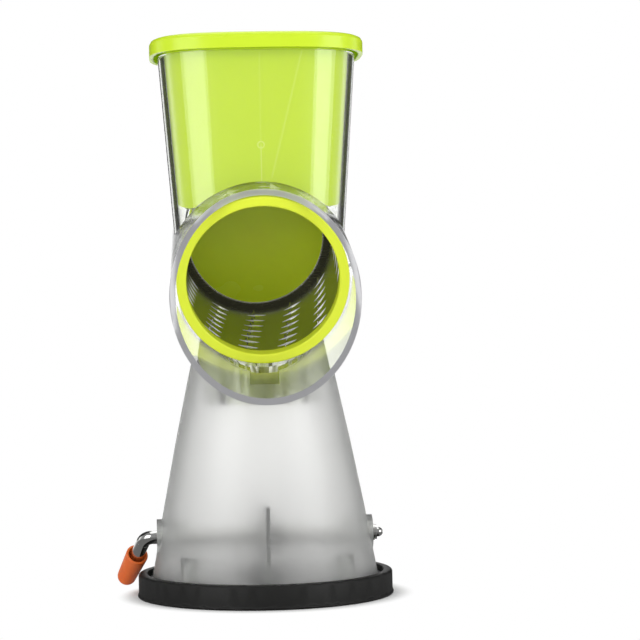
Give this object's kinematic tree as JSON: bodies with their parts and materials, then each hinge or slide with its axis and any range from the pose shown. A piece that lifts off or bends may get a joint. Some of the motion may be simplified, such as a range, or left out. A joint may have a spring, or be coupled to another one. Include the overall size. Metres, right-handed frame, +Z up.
{
  "type": "rotary shredder",
  "caption": "Hand-cranked drum shredder with clear hopper, food pusher, perforated steel drum, frosted column and suction foot with a side lever.",
  "frame": {"origin": "on the floor under the middle of the rubber foot", "axes": "+Z up; the drum's mouth looks along -Y and down, the crank is at +Y, the suction lever at -X"},
  "size_m": [0.141, 0.2133, 0.28],
  "materials": {
    "black_rubber": "matt moulded rubber",
    "black_nylon": "moulded nylon",
    "frosted_column": "frosted translucent",
    "clear_plastic": "clear polished moulding",
    "green_plastic": "gloss moulded lime green",
    "orange_sleeve": "soft vinyl sleeve",
    "steel_sheet": "pressed stainless sheet",
    "plated_steel": "bright plated",
    "white_acetal": "moulded acetal"
  },
  "bodies": {
    "base": {"suction_pad": "black_rubber", "pressure_plate": "black_nylon", "plate_screws": "plated_steel", "base_column": "frosted_column"},
    "lever": {"lever_shaft": "plated_steel", "lever_grip": "orange_sleeve", "shaft_cam": "black_nylon", "cam_pin": "plated_steel", "shaft_washer": "plated_steel", "shaft_clip": "plated_steel"},
    "stud": {"pad_stud": "black_nylon"},
    "housing": {"housing": "clear_plastic", "rear_bush": "white_acetal"},
    "pusher": {"pusher": "green_plastic"},
    "crank": {"crank_shaft": "plated_steel", "crank_washer": "white_acetal", "crank_arm": "green_plastic", "crank_screw": "plated_steel", "knob_pin": "plated_steel"},
    "knob": {"crank_knob": "green_plastic"},
    "drum": {"drum_ring": "green_plastic", "drum_sleeve": "steel_sheet", "drum_back_plate": "green_plastic"}
  },
  "joints": [
    {"name": "lever_turn", "type": "hinge", "parent": "base", "child": "lever", "pos_m": [0, 0, 0.03], "axis": [1, 0, 0], "range_deg": [0, 180]},
    {"name": "stud_lift", "type": "slide", "parent": "base", "child": "stud", "axis": [0, 0, 1], "range_m": [0, 0.005]},
    {"name": "housing_lift", "type": "slide", "parent": "base", "child": "housing", "axis": [0, 0, 1], "range_m": [0, 0.05]},
    {"name": "pusher_lift", "type": "slide", "parent": "housing", "child": "pusher", "axis": [0, 0, 1], "range_m": [0, 0.12]},
    {"name": "crank_turn", "type": "hinge", "parent": "housing", "child": "crank", "pos_m": [0, -0.04, 0.1576], "axis": [0, -0.9521, -0.3057], "continuous": true},
    {"name": "drum_pull", "type": "slide", "parent": "crank", "child": "drum", "axis": [0, -0.9521, -0.3057], "range_m": [0, 0.15]},
    {"name": "knob_turn", "type": "hinge", "parent": "crank", "child": "knob", "pos_m": [0, -0.01799, 0.08905], "axis": [0, -0.9521, -0.3057], "continuous": true}
  ],
  "couplings": [
    {"joint": "stud_lift", "follows": "lever_turn", "m_per_rad": 0.00159}
  ]
}
